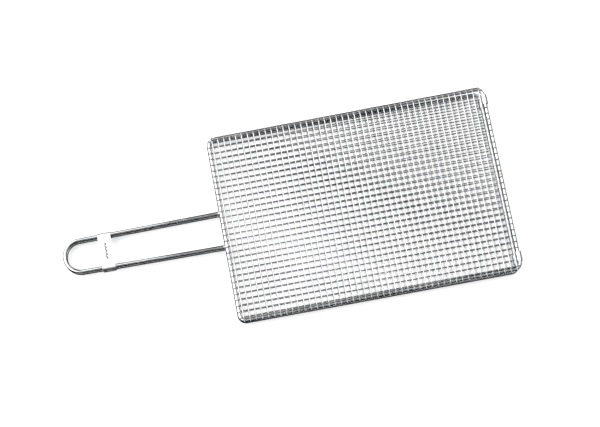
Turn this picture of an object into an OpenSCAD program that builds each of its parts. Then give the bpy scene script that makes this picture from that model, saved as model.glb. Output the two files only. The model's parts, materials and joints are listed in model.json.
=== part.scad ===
// Hand-held grill basket: two welded-mesh frames hinged at the far end, each with its own
// U-shaped handle, held shut by a sheet-metal clip that slides along the two handles.
// X runs from the handle to the hinge, Y across the basket, Z up. Z = 0 is what it rests on.

/* [Mesh] */
// Spacing of the mesh wires, centre to centre
mesh_pitch = 6.4; // [5.5:0.1:8]
// Number of the lid's wires that run from the handle to the hinge
lid_long_count = 31; // [28:1:31]
// Number of the base's wires that run from the handle to the hinge
base_long_count = 30; // [28:1:31]
// Number of wires that run across the basket (even)
cross_count = 46; // [36:2:56]
// Diameter of a mesh wire
wire_d = 1.2; // [1:0.05:1.25]
// Diameter of the weld nuggets at the ends of the cross wires
nugget_d = 1.3; // [1.28:0.01:1.5]
// How far the wires' ends reach past the weld on a frame's rod
wire_over = 1.2; // [0.4:0.1:1.8]
// How far a resistance weld sinks one wire into the next
weld_sink = 0.1; // [0.05:0.01:0.15]

/* [Frames] */
// Diameter of the rod that each frame is bent from
rim_d = 4; // [3.5:0.1:5]
// Bend radius of a frame corner, at the rod's centre line
corner_r = 7; // [6:0.5:10]
// Width of a frame between the centre lines of its side rods
frame_w = 197; // [196.5:0.5:205]
// From the outermost cross wire to the centre of the end rod
end_margin = 4.3; // [4:0.1:5]
// Height of the lid's rod above the base's rod at the handle end
handle_gap = 10; // [6:0.5:14]
// Height of the lid's rod above the base's rod at the hinge
hinge_gap = 21; // [16:0.5:30]

/* [Handles] */
// Diameter of a handle rod
handle_d = 4; // [3.5:0.1:4.5]
// From the frame's end rod to the far end of its handle, on centre lines
handle_l = 169; // [140:1:200]
// Spacing of the two handle rods where they meet the frame
handle_w = 36.5; // [35:0.5:44]
// Radius of the bend at the far end of the handle, at the rod's centre line
bend_r = 16.7; // [14:0.1:17]
// Length of a weld bead along the handle rod
bead_l = 2.4; // [1.5:0.1:3]
// Height of a weld bead over the rod
bead_h = 0.5; // [0.3:0.05:0.6]

/* [Clip] */
// Length of the clip along the handle
clip_l = 13.7; // [10:0.1:20]
// Thickness of the clip's sheet
clip_t = 0.6; // [0.5:0.1:0.8]
// From the lid's end rod to the middle of the clip
clip_pos = 125; // [105:1:128]
// Gap between the clip and the rods that it slides on
clip_gap = 0.15; // [0.1:0.05:0.3]
// Width of the tab that holds the clip on the lid's handle
tab_w = 6; // [4:0.5:8]
// How far a tab reaches in under the rod
tab_l = 3; // [2:0.1:3.5]
// Depth of the arrow marks in the clip's face
mark_depth = 0.2; // [0.1:0.05:0.3]

/* [Hinge] */
// Width of a hinge strap along the rod
strap_w = 10; // [8:0.5:11]
// Thickness of the strap's sheet
strap_t = 1.2; // [0.6:0.1:1.4]
// Radial play of the lid's rod in the strap's eye
strap_play = 0.08; // [0.04:0.01:0.1]
// Distance from the middle of the basket to the middle of a strap
strap_y = 86; // [70:0.5:88]
// Smallest gap between a strap and the wires near it
strap_clear = 0.5; // [0.4:0.1:1.2]

/* [Hidden] */
$fn = 64;

steel = [0.80, 0.81, 0.82];
sheet_steel = [0.88, 0.88, 0.89];

rim_r = rim_d / 2;
wire_r = wire_d / 2;
handle_r = handle_d / 2;

// Half the span of the cross wires, and half a frame's length and width on its centre lines
wires_x = (cross_count - 1) / 2 * mesh_pitch;
frame_x = wires_x + end_margin;
frame_y = frame_w / 2;

// Heights of the two wire layers over a rod's centre line
long_z = rim_r + wire_r - weld_sink;
cross_z = long_z + wire_d - weld_sink;
eye_r = rim_r + strap_play;
strap_r = eye_r + strap_t;
// The long wires that face a strap end short of the hinge rod's centre, clear of the strap
strap_wire_end = -strap_r - strap_clear;

// The base's frame is level, and the lid's slopes down from the hinge to the handle
base_z = cross_z + nugget_d / 2;
hinge_z = base_z + hinge_gap;
lid_tilt = asin((hinge_gap - handle_gap) / (2 * frame_x));
lid_span = 2 * frame_x * cos(lid_tilt);

// X places, with the whole object centred on the origin
overall_l = handle_l + handle_r + 2 * frame_x + strap_r;
hinge_x = overall_l / 2 - strap_r;
base_x = hinge_x - frame_x;
base_end_x = hinge_x - 2 * frame_x;
lid_end_x = hinge_x - lid_span;
lid_end_z = base_z + handle_gap;

// A handle's leg leaves its bend tangentially, and spreads by this angle to meet the frame
bend_x = bend_r - handle_l;
leg_spread = atan2(handle_w / 2, -bend_x) - asin(bend_r / norm([bend_x, handle_w / 2]));
// A leg's end reaches this far into the frame's rod, where it is welded
leg_bite = 0.5;

// Clip places: the rods' half spacing at the clip's wide end sets its inside width
clip_x = lid_end_x - clip_pos;
clip_half = handle_w / 2 - (clip_pos - clip_l / 2) * tan(leg_spread) + handle_r + clip_gap;
clip_top = lid_end_z + handle_r + clip_gap;
clip_bottom = base_z - handle_r;
tab_z = lid_end_z - handle_r - clip_gap - clip_t;

// A round bar between two points
module bar(from, to, d) {
    v = to - from;
    translate(from)
        rotate([0, acos(v[2] / norm(v)), atan2(v[1], v[0])])
            cylinder(h = norm(v), d = d);
}

// Part of a ring of round bar, about Z, from one angle to another
module bar_arc(r, d, from, to)
    rotate([0, 0, from]) rotate_extrude(angle = to - from) translate([r, 0]) circle(d = d);

// A rectangular frame bent from one rod, flat in XY about the origin
module rim() {
    sx = frame_x - corner_r;
    sy = frame_y - corner_r;
    for (s = [-1, 1]) {
        bar([-sx, s * frame_y, 0], [sx, s * frame_y, 0], rim_d);
        bar([s * frame_x, -sy, 0], [s * frame_x, sy, 0], rim_d);
    }
    for (quarter = [0:3]) {
        cx = (quarter == 0 || quarter == 3 ? 1 : -1) * sx;
        cy = (quarter < 2 ? 1 : -1) * sy;
        translate([cx, cy, 0]) bar_arc(corner_r, rim_d, quarter * 90, quarter * 90 + 90);
    }
}

// Bead that closes the frame's rod, in the middle of the hinge side between two long wires
module rim_weld(rows) {
    bead_r = rim_r + bead_h / 2;
    y = rows[ceil(len(rows) / 2)] - mesh_pitch / 2;
    translate([frame_x, y, 0]) rotate([90, 0, 0]) difference() {
        cylinder(h = bead_l, r = bead_r, center = true);
        cylinder(h = 2 * bead_l, r = rim_r, center = true);
    }
}

// How much sooner a wire this far from the middle meets the rod where the corner curves in
function corner_cut(half, offset) =
    let (into = offset - (half - corner_r))
    into <= 0 ? 0 : corner_r - sqrt(corner_r * corner_r - into * into);

// Where the long wires of one frame lie across it
function wire_rows(count) = [for (k = [0:count - 1]) (k - (count - 1) / 2) * mesh_pitch];

// Whether a long wire would meet a hinge strap if it reached the hinge rod
function at_strap(y) = abs(abs(y) - strap_y) < strap_w / 2 + wire_r + strap_clear;

// Long wires of one frame at the given places. They end past the handle side's rod, and at the
// given distance past the hinge rod, or short of it if that is negative
module long_wires(rows, past_hinge) {
    for (y = rows) {
        end_x = frame_x - corner_cut(frame_y, abs(y));
        bar([-end_x - wire_over, y, long_z], [end_x + past_hinge, y, long_z], wire_d);
    }
}

// One end of a cross wire: a weld nugget over the outermost long wire at drop_y, and from
// there down, touching the side rod that is centred at end_y, and on past it
module cross_wire_end(drop_y, end_y) {
    gap = norm([end_y - drop_y, cross_z]);
    slope = atan2(cross_z, end_y - drop_y) - asin(long_z / gap);
    l = sqrt(gap * gap - long_z * long_z) + wire_over;
    translate([0, drop_y, 0]) sphere(d = nugget_d);
    bar([0, drop_y, 0], [0, drop_y + l * cos(slope), -l * sin(slope)], wire_d);
}

// Cross wires of one frame, at the given half steps from the middle on both sides of it
module cross_wires(steps, rows) {
    last_y = rows[len(rows) - 1];
    for (k = steps, s = [-1, 1]) {
        end_y = frame_y - corner_cut(frame_x, k * mesh_pitch);
        translate([s * k * mesh_pitch, 0, cross_z]) {
            bar([0, -last_y, 0], [0, last_y, 0], wire_d);
            cross_wire_end(last_y, end_y);
            mirror([0, 1, 0]) cross_wire_end(last_y, end_y);
        }
    }
}

// Half of a U-shaped handle in the XY plane, on the +Y side of its middle
module half_handle() {
    leg_l = sqrt(bend_x * bend_x + handle_w * handle_w / 4 - bend_r * bend_r);
    difference() {
        translate([bend_x, 0, 0]) rotate([0, 0, leg_spread]) {
            bar_arc(bend_r, handle_d, 90, 180);
            translate([0, bend_r, 0]) rotate([0, 90, 0])
                cylinder(h = leg_l - rim_r + leg_bite, d = handle_d);
        }
        translate([-handle_l - handle_d, -bend_r, -handle_d])
            cube([bend_r, bend_r, 2 * handle_d]);
    }
}

// U-shaped handle, from the end rod at x = 0 to a bend on the -X side
module handle() {
    half_handle();
    mirror([0, 1, 0]) half_handle();
}

// Fillet beads where the two legs of a handle meet the end rod
module handle_welds() {
    difference() {
        for (s = [-1, 1])
            translate([-rim_r - bead_l + leg_bite, s * handle_w / 2, 0]) rotate([0, 90, 0])
                cylinder(h = bead_l + rim_r / 2, r1 = handle_r + bead_h / 3, r2 = handle_r + bead_h);
        handle();
        bar([0, -handle_w, 0], [0, handle_w, 0], rim_d);
    }
}

// The base's pieces hang under their rods, so a frame's parts are mirrored into the base
module as_base() translate([base_x, 0, base_z]) mirror([0, 0, 1]) children();

// The lid's pieces turn with its frame about the hinge rod
module as_lid() translate([hinge_x, 0, hinge_z]) rotate([0, -lid_tilt, 0])
    translate([-frame_x, 0, 0]) children();

// Sheet strap with an eye about each rod: crimped on the base's, running on the lid's
module hinge_strap(side) {
    web_top = hinge_gap - eye_r - strap_t / 2;
    web_low = rim_r + strap_t / 2;
    translate([hinge_x, side * strap_y, base_z]) difference() {
        union() {
            rotate([90, 0, 0]) cylinder(h = strap_w, r = rim_r + strap_t, center = true);
            translate([0, 0, hinge_gap]) rotate([90, 0, 0])
                cylinder(h = strap_w, r = strap_r, center = true);
            translate([-strap_t, -strap_w / 2, web_low])
                cube([2 * strap_t, strap_w, web_top - web_low]);
        }
        rotate([90, 0, 0]) cylinder(h = 2 * strap_w, r = rim_r, center = true);
        translate([0, 0, hinge_gap]) rotate([90, 0, 0])
            cylinder(h = 2 * strap_w, r = eye_r, center = true);
    }
}

// Outline of the clip across the handle, grown by t: flat top, round shoulders, open below
module clip_outline(t) {
    shoulder = handle_r + clip_gap;
    reach = clip_half - shoulder;
    for (s = [-1, 1]) translate([s * reach, clip_top - shoulder]) circle(r = shoulder + t);
    translate([-reach, clip_top - shoulder]) square([2 * reach, shoulder + t]);
    translate([-clip_half - t, clip_bottom])
        square([2 * (clip_half + t), clip_top - shoulder - clip_bottom]);
}

// One arrow mark, pointing along +X towards the basket
module arrow_mark(l, w) polygon([[-l / 2, -w / 2], [0, -w / 2], [l / 2, 0], [0, w / 2],
    [-l / 2, w / 2], [0, 0]]);

module clip() {
    mark_l = clip_l * 0.24;
    mark_step = clip_l * 0.26;
    window_h = tab_l + clip_t;
    difference() {
        translate([clip_x - clip_l / 2, 0, 0]) rotate([90, 0, 90]) difference() {
            linear_extrude(clip_l) clip_outline(clip_t);
            translate([0, 0, -clip_l]) linear_extrude(3 * clip_l) union() {
                clip_outline(0);
                translate([-clip_half, clip_bottom - clip_t]) square([2 * clip_half, 2 * clip_t]);
            }
        }
        for (s = [-1, 1]) translate([clip_x - tab_w / 2, s * clip_half - 2 * clip_t, tab_z - window_h])
            cube([tab_w, 4 * clip_t, window_h]);
        for (k = [-2:2]) translate([clip_x, k * mark_step, clip_top + clip_t - mark_depth])
            linear_extrude(2 * mark_depth) arrow_mark(mark_l, mark_l);
    }
    for (s = [-1, 1])
        translate([clip_x - tab_w / 2, s > 0 ? clip_half - tab_l : -clip_half - clip_t, tab_z])
            cube([tab_w, tab_l + clip_t, clip_t]);
}

lid_rows = wire_rows(lid_long_count);
base_rows = wire_rows(base_long_count);
plain_steps = [0.5:1:cross_count / 2 - 1.5];
edge_steps = [(cross_count - 1) / 2];

// The long wires between the two outermost, at the hinge straps or clear of them
function inner_rows(rows, hinged) =
    [for (k = [1:len(rows) - 2]) if (at_strap(rows[k]) == hinged) rows[k]];
function edge_rows(rows) = [rows[0], rows[len(rows) - 1]];

module base_rim() color(steel) as_base() rim();
module base_rim_weld() color(steel) as_base() rim_weld(base_rows);
module base_long_wires() color(steel) as_base() long_wires(inner_rows(base_rows, false), wire_over);
module base_hinge_wires() color(steel) as_base()
    long_wires(inner_rows(base_rows, true), strap_wire_end);
module base_edge_long_wires() color(steel) as_base() long_wires(edge_rows(base_rows), wire_over);
module base_cross_wires() color(steel) as_base() cross_wires(plain_steps, base_rows);
module base_edge_cross_wires() color(steel) as_base() cross_wires(edge_steps, base_rows);
module base_handle() color(steel) translate([base_end_x, 0, base_z]) handle();
module base_handle_welds() color(steel) translate([base_end_x, 0, base_z]) handle_welds();
module hinge_strap_left() color(sheet_steel) hinge_strap(1);
module hinge_strap_right() color(sheet_steel) hinge_strap(-1);

module lid_rim() color(steel) as_lid() rim();
module lid_rim_weld() color(steel) as_lid() rim_weld(lid_rows);
module lid_long_wires() color(steel) as_lid() long_wires(inner_rows(lid_rows, false), wire_over);
module lid_hinge_wires() color(steel) as_lid()
    long_wires(inner_rows(lid_rows, true), strap_wire_end);
module lid_edge_long_wires() color(steel) as_lid() long_wires(edge_rows(lid_rows), wire_over);
module lid_cross_wires() color(steel) as_lid() cross_wires(plain_steps, lid_rows);
module lid_edge_cross_wires() color(steel) as_lid() cross_wires(edge_steps, lid_rows);
module lid_handle() color(steel) translate([lid_end_x, 0, lid_end_z]) handle();
module lid_handle_welds() color(steel) translate([lid_end_x, 0, lid_end_z]) handle_welds();

module lock_clip() color(sheet_steel) clip();

base_rim();
base_rim_weld();
base_long_wires();
base_hinge_wires();
base_edge_long_wires();
base_cross_wires();
base_edge_cross_wires();
base_handle();
base_handle_welds();
hinge_strap_left();
hinge_strap_right();
lid_rim();
lid_rim_weld();
lid_long_wires();
lid_hinge_wires();
lid_edge_long_wires();
lid_cross_wires();
lid_edge_cross_wires();
lid_handle();
lid_handle_welds();
lock_clip();
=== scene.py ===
"""Looks for the grill basket: steel finishes, weld nuggets, weld fillets, clip marks, floor,
lights and camera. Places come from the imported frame; lengths are in metres."""
import json
import math

import bpy
from mathutils import Matrix, Vector


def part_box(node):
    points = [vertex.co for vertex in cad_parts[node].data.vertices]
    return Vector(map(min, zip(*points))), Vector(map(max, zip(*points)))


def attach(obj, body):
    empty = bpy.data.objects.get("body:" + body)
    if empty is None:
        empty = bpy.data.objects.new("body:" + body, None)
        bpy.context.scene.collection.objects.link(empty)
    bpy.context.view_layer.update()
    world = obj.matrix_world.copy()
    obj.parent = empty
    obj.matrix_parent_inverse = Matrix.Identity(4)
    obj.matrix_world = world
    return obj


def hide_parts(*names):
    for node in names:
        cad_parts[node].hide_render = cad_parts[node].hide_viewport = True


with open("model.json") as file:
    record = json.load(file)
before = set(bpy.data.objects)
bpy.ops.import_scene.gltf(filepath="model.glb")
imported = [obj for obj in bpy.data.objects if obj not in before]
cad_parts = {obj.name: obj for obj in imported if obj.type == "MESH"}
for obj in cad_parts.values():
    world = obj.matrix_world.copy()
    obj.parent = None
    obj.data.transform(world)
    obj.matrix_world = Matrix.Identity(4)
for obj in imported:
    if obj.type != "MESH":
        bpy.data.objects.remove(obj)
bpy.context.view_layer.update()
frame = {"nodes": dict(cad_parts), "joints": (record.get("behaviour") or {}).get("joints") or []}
nodes = frame["nodes"]
MM = 0.001
LEAVES = ("base", "lid")  # the two hinged halves

# Sizes of the real pieces, the same as in the CAD
MESH_PITCH = 6.4 * MM
CROSS_COUNT = 46
LONG_COUNT = {"lid": 31, "base": 30}
WIRE_R = 0.6 * MM
ROD_R = 2.0 * MM
WELD_SINK = 0.1 * MM
BEAD_LENGTH = 2.4 * MM
BEAD_HEIGHT = 0.5 * MM
ARROW_COUNT = 5
ARROW_DEPTH = 0.2 * MM

# An arrow's length and the distance between arrows, as shares of the clip's length
ARROW_SHARE = 0.24
ARROW_STEP_SHARE = 0.26

# Height of the long wires, and of their welds to the cross wires, over the rods' centres
LONG_LEVEL = ROD_R + WIRE_R - WELD_SINK
NUGGET_LEVEL = LONG_LEVEL + WIRE_R - WELD_SINK / 2


def centre(node):
    low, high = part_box(node)
    return (Vector(low) + Vector(high)) / 2


HINGE = Vector(next(j for j in frame["joints"] if j["name"] == "lid_hinge")["pos_m"])
BASE_CENTRE = centre("base_rim")
FRAME_HALF = HINGE.x - BASE_CENTRE.x
LID_TILT = math.asin((HINGE.z - centre("lid_handle").z) / (2 * FRAME_HALF))


# ---------------------------------------------------------------- material nodes

def node_tree(name):
    mat = bpy.data.materials.new(name)
    mat.use_nodes = True
    tree = mat.node_tree
    return mat, tree, tree.nodes["Principled BSDF"]


def object_coords(tree):
    return tree.nodes.new("ShaderNodeTexCoord").outputs["Object"]


def noise(tree, coords, scale, detail, stretch=(1, 1, 1)):
    mapping = tree.nodes.new("ShaderNodeMapping")
    mapping.inputs["Scale"].default_value = stretch
    tree.links.new(coords, mapping.inputs["Vector"])
    tex = tree.nodes.new("ShaderNodeTexNoise")
    tex.inputs["Scale"].default_value = scale
    tex.inputs["Detail"].default_value = detail
    tree.links.new(mapping.outputs["Vector"], tex.inputs["Vector"])
    return tex.outputs["Fac"]


def remap(tree, value, low, high, from_low=0.3, from_high=0.7):
    node = tree.nodes.new("ShaderNodeMapRange")
    node.inputs["From Min"].default_value = from_low
    node.inputs["From Max"].default_value = from_high
    node.inputs["To Min"].default_value = low
    node.inputs["To Max"].default_value = high
    tree.links.new(value, node.inputs["Value"])
    return node.outputs["Result"]


def combine(tree, operation, *values):
    """One Math node; each value is a number or another node's output."""
    node = tree.nodes.new("ShaderNodeMath")
    node.operation = operation
    for socket, value in zip(node.inputs, values):
        if isinstance(value, float):
            socket.default_value = value
        else:
            tree.links.new(value, socket)
    return node.outputs[0]


def mix_colour(tree, fac, a, b):
    """Blend from a to b; each is an RGB tuple or another node's output."""
    node = tree.nodes.new("ShaderNodeMix")
    node.data_type = "RGBA"
    tree.links.new(fac, node.inputs["Factor"])
    for socket, colour in (("A", a), ("B", b)):
        target = next(s for s in node.inputs if s.name == socket and s.type == "RGBA")
        if isinstance(colour, tuple):
            target.default_value = (*colour, 1)
        else:
            tree.links.new(colour, target)
    return next(s for s in node.outputs if s.type == "RGBA")


def relief(tree, height, strength, distance):
    node = tree.nodes.new("ShaderNodeBump")
    node.inputs["Strength"].default_value = strength
    node.inputs["Distance"].default_value = distance
    tree.links.new(height, node.inputs["Height"])
    return node.outputs["Normal"]


# ---------------------------------------------------------------- materials

# Noise scales of the steel's surface, in cycles per metre
CLOUD_SCALE = 55.0
HEAT_SCALE = 140.0
PIT_SCALE = 2600.0


def steel(name, light, dark, rough, grain, bump, tint=None, tint_from=0.56):
    """Stainless steel. grain stretches the drawing or brushing lines, and rough is the range of
    roughness over them. tint is heat colour, where its noise is above tint_from."""
    mat, tree, shader = node_tree(name)
    coords = object_coords(tree)
    lines = noise(tree, coords, 1.0, 3.0, grain)
    cloud = noise(tree, coords, CLOUD_SCALE, 4.0)
    pits = noise(tree, coords, PIT_SCALE, 2.0)
    colour = mix_colour(tree, remap(tree, cloud, 0.0, 1.0), dark, light)
    colour = mix_colour(tree, remap(tree, lines, 0.0, 0.35, 0.45, 0.8), colour, dark)
    if tint:
        heat = noise(tree, coords, HEAT_SCALE, 2.0)
        colour = mix_colour(tree, remap(tree, heat, 0.0, 0.6, tint_from, tint_from + 0.12),
                            colour, tint)
    roughness = combine(tree, "ADD", remap(tree, lines, *rough), remap(tree, cloud, -0.03, 0.05))
    height = combine(tree, "MULTIPLY_ADD", pits, 0.35, lines)
    shader.inputs["Metallic"].default_value = 1.0
    tree.links.new(colour, shader.inputs["Base Color"])
    tree.links.new(roughness, shader.inputs["Roughness"])
    tree.links.new(relief(tree, height, bump, 0.02 * MM), shader.inputs["Normal"])
    return mat


def arrow_dark_fill():
    """Near-black, slightly mottled in colour, roughness and relief."""
    mat, tree, shader = node_tree("arrow_dark_fill")
    mottle = noise(tree, object_coords(tree), 900.0, 4.0)
    colour = mix_colour(tree, remap(tree, mottle, 0.0, 1.0), (0.012, 0.012, 0.014),
                        (0.05, 0.05, 0.055))
    tree.links.new(colour, shader.inputs["Base Color"])
    tree.links.new(remap(tree, mottle, 0.35, 0.6), shader.inputs["Roughness"])
    tree.links.new(relief(tree, mottle, 0.5, 0.03 * MM), shader.inputs["Normal"])
    return mat


DRAWN = {"light": (0.80, 0.805, 0.81), "dark": (0.58, 0.59, 0.60)}

# Line frequencies, in cycles per metre: across the lines of a finish, and along them
ACROSS = 9000
ALONG_DRAWN = 300
ALONG_BRUSHED = 260
LINES_ON_X = (ALONG_DRAWN, ACROSS, ACROSS)
LINES_ON_Y = (ACROSS, ALONG_DRAWN, ACROSS)

rod_steel = steel("drawn_rod_steel", **DRAWN, rough=(0.05, 0.14), grain=(1500, 1500, 1500),
                  bump=0.25)
handle_steel = steel("drawn_handle_steel", **DRAWN, rough=(0.06, 0.11), grain=LINES_ON_X,
                     bump=0.08)
long_wire_steel = steel("drawn_long_wire_steel", **DRAWN, rough=(0.07, 0.18), grain=LINES_ON_X,
                        bump=0.3, tint=(0.52, 0.45, 0.36), tint_from=0.60)
cross_wire_steel = steel("drawn_cross_wire_steel", **DRAWN, rough=(0.07, 0.18), grain=LINES_ON_Y,
                         bump=0.3, tint=(0.55, 0.49, 0.40), tint_from=0.62)
sheet_steel = steel("brushed_sheet_steel", light=(0.94, 0.94, 0.945), dark=(0.84, 0.845, 0.85),
                    rough=(0.38, 0.52), grain=(ACROSS, ALONG_BRUSHED, ACROSS), bump=0.5)
strap_steel = steel("pressed_strap_steel", light=(0.86, 0.86, 0.865), dark=(0.68, 0.69, 0.70),
                    rough=(0.20, 0.36), grain=(ACROSS, ACROSS, ALONG_BRUSHED), bump=0.5)
weld_steel = steel("weld_bead_steel", light=(0.66, 0.66, 0.66), dark=(0.40, 0.39, 0.38),
                   rough=(0.26, 0.48), grain=(2200, 2200, 2200), bump=0.9,
                   tint=(0.44, 0.40, 0.35), tint_from=0.54)

LEAF_FINISHES = {
    "rim": rod_steel,
    "rim_weld": weld_steel,
    "handle": handle_steel,
    "long_wires": long_wire_steel,
    "hinge_wires": long_wire_steel,
    "edge_long_wires": long_wire_steel,
    "cross_wires": cross_wire_steel,
    "edge_cross_wires": cross_wire_steel,
}
PRESSED_FINISHES = {
    "lock_clip": sheet_steel,
    "hinge_strap_left": strap_steel,
    "hinge_strap_right": strap_steel,
}

for leaf in LEAVES:
    for part, mat in LEAF_FINISHES.items():
        nodes[f"{leaf}_{part}"].data.materials[0] = mat

# The pressed pieces' sheared edges are slightly rounded
for node, mat in PRESSED_FINISHES.items():
    nodes[node].data.materials[0] = mat
    edge = nodes[node].modifiers.new("sheared_edge", "BEVEL")
    edge.width = 0.1 * MM
    edge.segments = 2
    edge.limit_method = "ANGLE"
    edge.angle_limit = math.radians(40)


# ---------------------------------------------------------------- pieces

def add_piece(name, verts, faces, mat, body, smooth=True):
    mesh = bpy.data.meshes.new(name)
    mesh.from_pydata(verts, [], faces)
    mesh.polygons.foreach_set("use_smooth", [smooth] * len(mesh.polygons))
    mesh.materials.append(mat)
    mesh.validate()
    obj = bpy.data.objects.new(name, mesh)
    bpy.context.scene.collection.objects.link(obj)
    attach(obj, body)
    return obj


def tube_faces(start, rings, sides, reverse=False):
    """Faces of a closed tube whose rings of vertices begin at vertex start."""
    faces = []
    for ring in range(rings - 1):
        near = start + ring * sides
        far = near + sides
        for a in range(sides):
            b = (a + 1) % sides
            faces.append((near + a, far + a, far + b, near + b) if reverse
                         else (near + a, near + b, far + b, far + a))
    last = start + (rings - 1) * sides
    turn = -1 if reverse else 1
    faces.append(tuple(start + a for a in range(sides))[::-turn])
    faces.append(tuple(last + a for a in range(sides))[::turn])
    return faces


def leaf_matrix(leaf):
    """From a leaf's own coordinates, centred on its rods with its mesh above, to the object's."""
    if leaf == "base":
        return Matrix.Translation(BASE_CENTRE) @ Matrix.Diagonal((1, 1, -1, 1))
    return (Matrix.Translation(HINGE) @ Matrix.Rotation(-LID_TILT, 4, "Y")
            @ Matrix.Translation((-FRAME_HALF, 0, 0)))


def weld_nuggets(leaf):
    """The squeezed-out metal round each resistance weld, as one mesh of flat beads. Sines that
    don't keep step with the mesh make each bead a little different."""
    outline = [(-0.3 * MM, 0.45 * MM), (0, 0.7 * MM), (0.3 * MM, 0.45 * MM)]  # height, radius
    sides = 10
    size_spread = 0.16
    out_of_round = 0.1
    place = leaf_matrix(leaf)
    count = LONG_COUNT[leaf]
    verts, faces = [], []
    for i in range(CROSS_COUNT):
        for j in range(count):
            x = (i - (CROSS_COUNT - 1) / 2) * MESH_PITCH
            y = (j - (count - 1) / 2) * MESH_PITCH
            size = 1 + size_spread * math.sin(3.1 * i + 7.7 * j)
            faces += tube_faces(len(verts), len(outline), sides)
            for lift, bead_r in outline:
                for a in range(sides):
                    angle = 2 * math.pi * a / sides
                    radius = bead_r * size
                    radius *= 1 + out_of_round * math.sin(2 * angle + i + 2 * j)
                    verts.append(place @ Vector((x + radius * math.cos(angle),
                                                 y + radius * math.sin(angle),
                                                 NUGGET_LEVEL + lift)))
    return add_piece(f"{leaf}_weld_nuggets", verts, faces, weld_steel, leaf)


def handle_fillets(leaf):
    """Rippled fillet welds round the two roots of a handle, wider towards the end rod."""
    low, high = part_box(f"{leaf}_handle")
    weld_low, weld_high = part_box(f"{leaf}_handle_welds")
    root_y = weld_high[1] - ROD_R - BEAD_HEIGHT
    root_z = (low[2] + high[2]) / 2
    toe_x = weld_low[0] + 0.2 * MM
    toe_r = ROD_R + 0.03 * MM
    length = BEAD_LENGTH + 0.4 * MM
    ripple_share = 0.06
    scallop_depth = 0.12 * MM
    around, along = 56, 12
    verts, faces = [], []
    for side in (-1, 1):
        faces += tube_faces(len(verts), along + 1, around, reverse=True)
        for k in range(along + 1):
            t = k / along
            for a in range(around):
                angle = 2 * math.pi * a / around
                ripple = ripple_share * math.sin(9 * angle + 4 * side) * math.sin(math.pi * t)
                radius = toe_r + BEAD_HEIGHT * (t ** 1.6 + ripple * (1 + t))
                scallop = scallop_depth * math.sin(11 * angle) * (1 - t)
                verts.append((toe_x + scallop + t * length,
                              side * root_y + radius * math.cos(angle),
                              root_z + radius * math.sin(angle)))
    obj = add_piece(f"{leaf}_root_welds", verts, faces, weld_steel, leaf)
    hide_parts(f"{leaf}_handle_welds")
    return obj


def clip_marks():
    """A near-black fill laid in the arrows pressed into the clip's face."""
    low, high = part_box("lock_clip")
    length = high[0] - low[0]
    middle = (low[0] + high[0]) / 2
    size = ARROW_SHARE * length - 0.12 * MM
    step = ARROW_STEP_SHARE * length
    top = high[2] - 0.06 * MM
    bottom = high[2] - ARROW_DEPTH - 0.05 * MM
    half = size / 2
    outline = [(-half, -half), (0, -half), (half, 0), (0, half), (-half, half), (0, 0)]
    triangles = [(0, 1, 5), (1, 2, 5), (2, 3, 5), (3, 4, 5)]
    corners = len(outline)
    verts, faces = [], []
    for k in range(ARROW_COUNT):
        start = len(verts)
        y = (k - (ARROW_COUNT - 1) / 2) * step
        for z in (bottom, top):
            verts += [(middle + px, y + py, z) for px, py in outline]
        for a in range(corners):
            b = (a + 1) % corners
            faces.append((start + a, start + b, start + corners + b, start + corners + a))
        for first, turn in ((start, -1), (start + corners, 1)):
            faces += [tuple(first + i for i in triangle[::turn]) for triangle in triangles]
    return add_piece("clip_marks", verts, faces, arrow_dark_fill(), "clip",
                     smooth=False)


for leaf in LEAVES:
    weld_nuggets(leaf)
    handle_fillets(leaf)
clip_marks()


# ---------------------------------------------------------------- floor and light

def stage_floor():
    """A pale floor, just under the basket and wide enough to fill every view."""
    half = 20.0
    mesh = bpy.data.meshes.new("floor")
    mesh.from_pydata([(-half, -half, 0), (half, -half, 0), (half, half, 0), (-half, half, 0)],
                     [], [(0, 1, 2, 3)])
    floor = bpy.data.objects.new("floor", mesh)
    bpy.context.scene.collection.objects.link(floor)
    floor.location.z = -0.05 * MM
    mat, _, shader = node_tree("pale_floor")
    shader.inputs["Base Color"].default_value = (0.93, 0.93, 0.93, 1)
    shader.inputs["Roughness"].default_value = 0.9
    shader.inputs["Specular IOR Level"].default_value = 0.1
    shader.inputs["Emission Color"].default_value = (1, 1, 1, 1)
    shader.inputs["Emission Strength"].default_value = 0.36
    mesh.materials.append(mat)
    floor.visible_glossy = False


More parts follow.
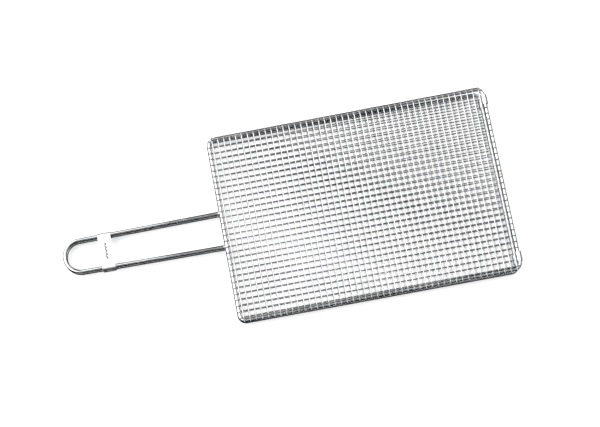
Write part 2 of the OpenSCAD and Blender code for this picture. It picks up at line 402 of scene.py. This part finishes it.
def soft_light(name, place, size, radiance, aim=(0, 0, 0), shadow=True):
    """A rectangular panel at place that faces aim; its energy follows from its radiance."""
    light = bpy.data.lights.new(name, "AREA")
    light.shape = "RECTANGLE"
    light.size, light.size_y = size
    light.energy = radiance * math.pi * size[0] * size[1]
    light.use_shadow = shadow
    obj = bpy.data.objects.new(name, light)
    obj.location = place
    obj.rotation_euler = (Vector(aim) - Vector(place)).to_track_quat("-Z", "Y").to_euler()
    bpy.context.scene.collection.objects.link(obj)


def studio_lights():
    """The frame's long rods and wires mostly reflect the strips, its cross wires the panels at
    the left and right, and the handle's rods the handle light."""
    soft_light("overhead_strip", place=(0.0, 0.55, 2.4), size=(4.4, 0.8), radiance=1.35,
               aim=(0.0, 0.55, 0))
    soft_light("left_light", place=(-1.8, 1.0, 1.85), size=(5.0, 2.6), radiance=2.4,
               aim=(0.0, 1.0, 0))
    soft_light("right_light", place=(1.8, 1.0, 1.85), size=(5.0, 2.6), radiance=1.0,
               aim=(0.0, 1.0, 0), shadow=False)
    soft_light("handle_light", place=(-0.64, 1.45, 1.5), size=(0.84, 2.9), radiance=1.1,
               aim=(-0.64, 0.28, 0), shadow=False)
    soft_light("front_strip", place=(0.0, -1.7, 2.0), size=(4.4, 0.2), radiance=2.6,
               shadow=False)


def studio_world():
    world = bpy.data.worlds.new("studio")
    bpy.context.scene.world = world
    world.use_nodes = True
    background = world.node_tree.nodes["Background"]
    background.inputs["Color"].default_value = (0.9, 0.95, 1.0, 1)
    background.inputs["Strength"].default_value = 0.04
    bpy.context.scene.view_settings.view_transform = "Standard"


stage_floor()
studio_lights()
studio_world()


# ---------------------------------------------------------------- camera

def camera():
    """Looks steeply down at the basket from its long side."""
    azimuth, elevation = math.radians(10.54), math.radians(78.4)
    distance = 1.598
    target = Vector((0, 0, 0.01))
    look = Vector((math.sin(azimuth) * math.cos(elevation),
                   math.cos(azimuth) * math.cos(elevation), -math.sin(elevation)))
    right = Vector((math.cos(azimuth), -math.sin(azimuth), 0))
    up = right.cross(look)
    lens = bpy.data.cameras.new("camera")
    lens.sensor_width = 36
    lens.lens = 90.84
    lens.shift_x = 0.0267
    lens.shift_y = 0.0103
    cam = bpy.data.objects.new("camera", lens)
    bpy.context.scene.collection.objects.link(cam)
    place = Matrix((right, up, -look)).transposed().to_4x4()
    place.translation = target - look * distance
    cam.matrix_world = place
    bpy.context.scene.camera = cam


camera()
